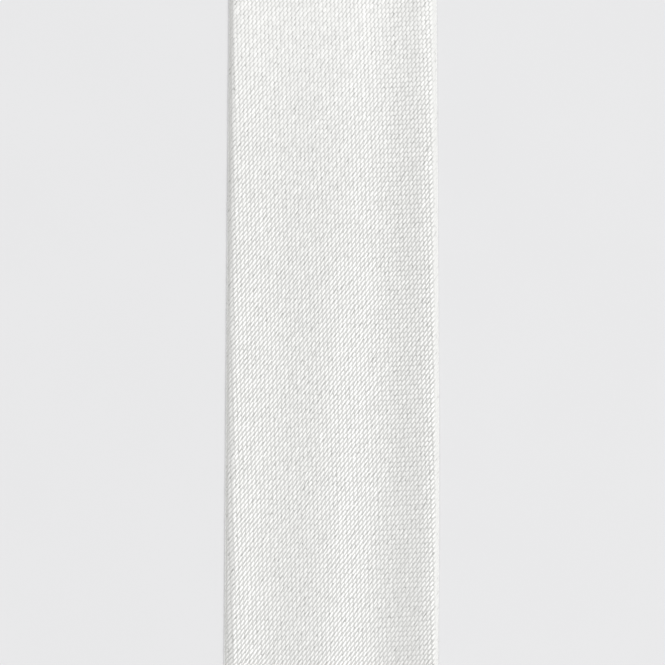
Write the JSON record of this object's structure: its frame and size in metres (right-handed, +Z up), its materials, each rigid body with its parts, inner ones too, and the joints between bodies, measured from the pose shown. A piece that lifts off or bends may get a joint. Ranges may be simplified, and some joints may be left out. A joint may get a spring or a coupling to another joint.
{
  "type": "cut length of satin bias tape",
  "caption": "Flat cut length of single-fold satin bias tape, right side up, with both long edges folded under towards the middle.",
  "frame": {"origin": "centre of the tape's box, on the surface it lies on", "axes": "+X across the tape, +Y along it, +Z up out of its right side"},
  "size_m": [0.0206, 0.1, 0.0027],
  "materials": {
    "satin": "white satin weave with slanting floats and a soft sheen"
  },
  "bodies": {
    "root": {"tape": "satin"}
  },
  "joints": []
}
